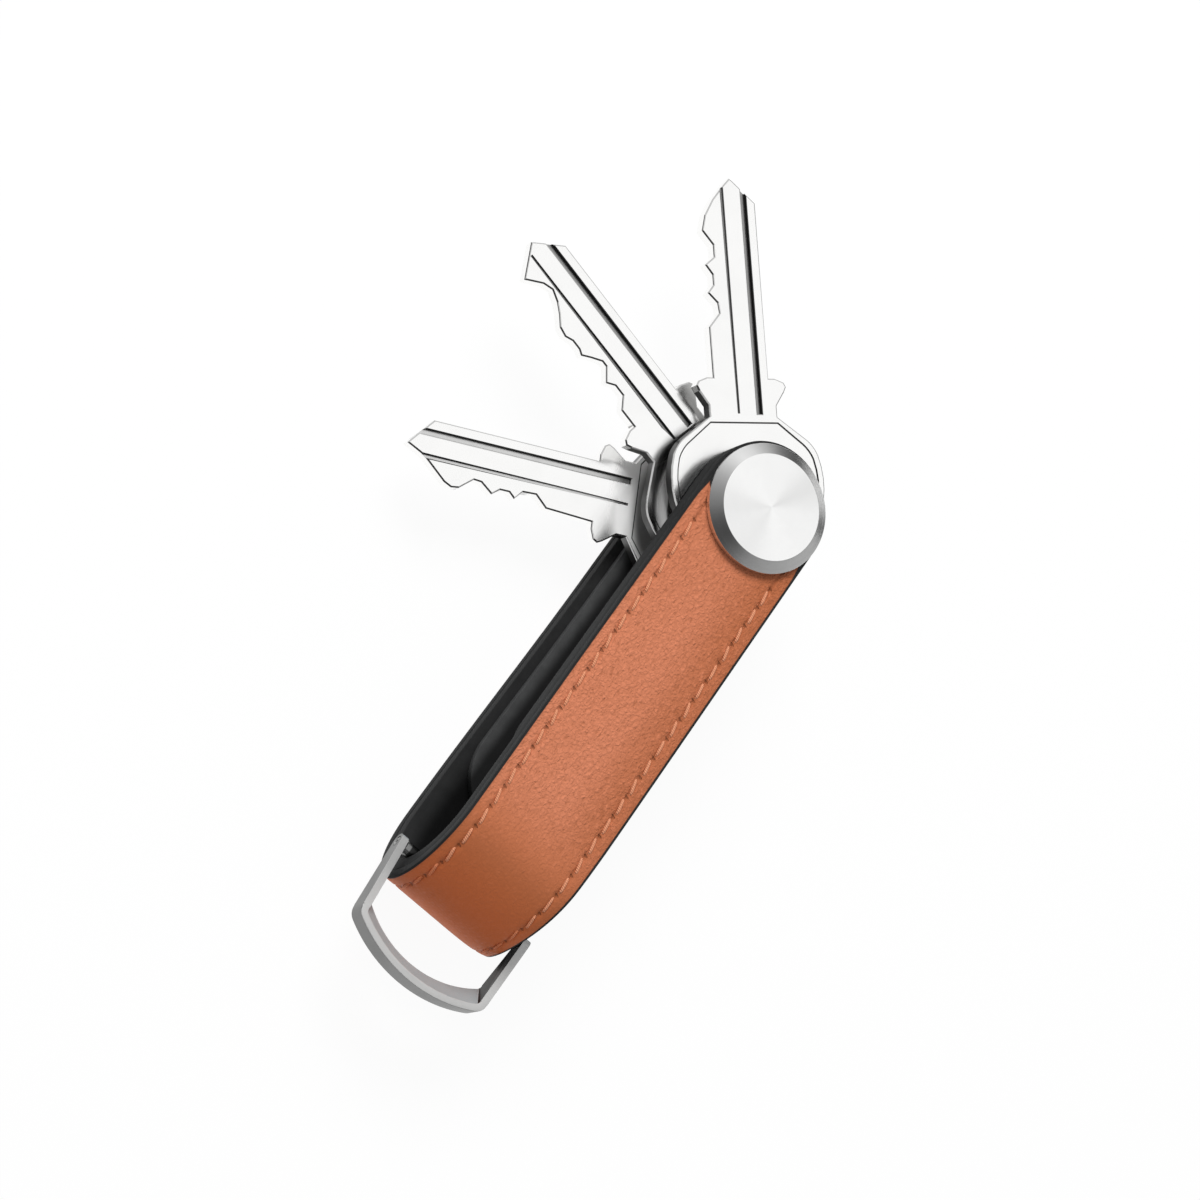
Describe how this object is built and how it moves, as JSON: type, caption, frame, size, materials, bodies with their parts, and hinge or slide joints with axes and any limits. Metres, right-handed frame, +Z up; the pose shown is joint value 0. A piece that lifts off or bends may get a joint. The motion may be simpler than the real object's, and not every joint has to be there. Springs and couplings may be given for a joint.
{
  "type": "key organizer",
  "caption": "Folded leather strap with a disc-capped post on which flat keys swing out, and a steel ring hung on a cross pin in the bend.",
  "frame": {"origin": "middle of the whole object's bounding box in plan, on the surface that it lies on", "axes": "+X along the strap from the post to the ring, +Z up along the post from the rear disc to the front disc, keys fanned out towards -Y"},
  "size_m": [0.1202, 0.0598, 0.026],
  "materials": {
    "tan_leather": "pebbled tan leather",
    "black_lining": "matte black",
    "pad_black": "matte black",
    "brushed_steel": "circular brushed",
    "dark_steel": "turned, dark",
    "key_nickel": "nickel plated",
    "white_polymer": "plain",
    "ring_steel": "satin"
  },
  "bodies": {
    "strap": {"leather_band": "tan_leather", "lining_band": "black_lining", "front_pad": "pad_black", "rear_pad": "pad_black", "front_disc": "brushed_steel", "rear_disc": "brushed_steel", "pivot_post": "dark_steel", "front_bush": "dark_steel", "rear_bush": "dark_steel", "front_washer": "white_polymer", "rear_washer": "white_polymer", "front_spacer": "dark_steel", "upper_spacer": "dark_steel", "lower_spacer": "dark_steel", "rear_spacer": "dark_steel", "ring_post": "ring_steel", "ring_screw": "ring_steel"},
    "front_key": {"key_front": "key_nickel"},
    "middle_key": {"key_middle": "key_nickel"},
    "rear_key": {"key_rear": "key_nickel"},
    "ring": {"d_ring": "ring_steel"},
    "screw": {"lock_screw": "dark_steel"}
  },
  "joints": [
    {"name": "key_front_swing", "type": "hinge", "parent": "strap", "child": "front_key", "pos_m": [-0.02258, 0.01805, 0.018], "axis": [0, 0, 1], "continuous": true},
    {"name": "key_middle_swing", "type": "hinge", "parent": "strap", "child": "middle_key", "pos_m": [-0.02258, 0.01805, 0.0147], "axis": [0, 0, 1], "continuous": true},
    {"name": "key_rear_swing", "type": "hinge", "parent": "strap", "child": "rear_key", "pos_m": [-0.02258, 0.01805, 0.009], "axis": [0, 0, 1], "continuous": true},
    {"name": "d_ring_swing", "type": "hinge", "parent": "strap", "child": "ring", "pos_m": [0.04532, 0.01805, 0.01195], "axis": [0, -1, 0], "range_deg": [-74, 82]},
    {"name": "lock_screw_turn", "type": "hinge", "parent": "strap", "child": "screw", "pos_m": [-0.02258, 0.01805, 0.001], "axis": [0, 0, 1], "continuous": true}
  ]
}
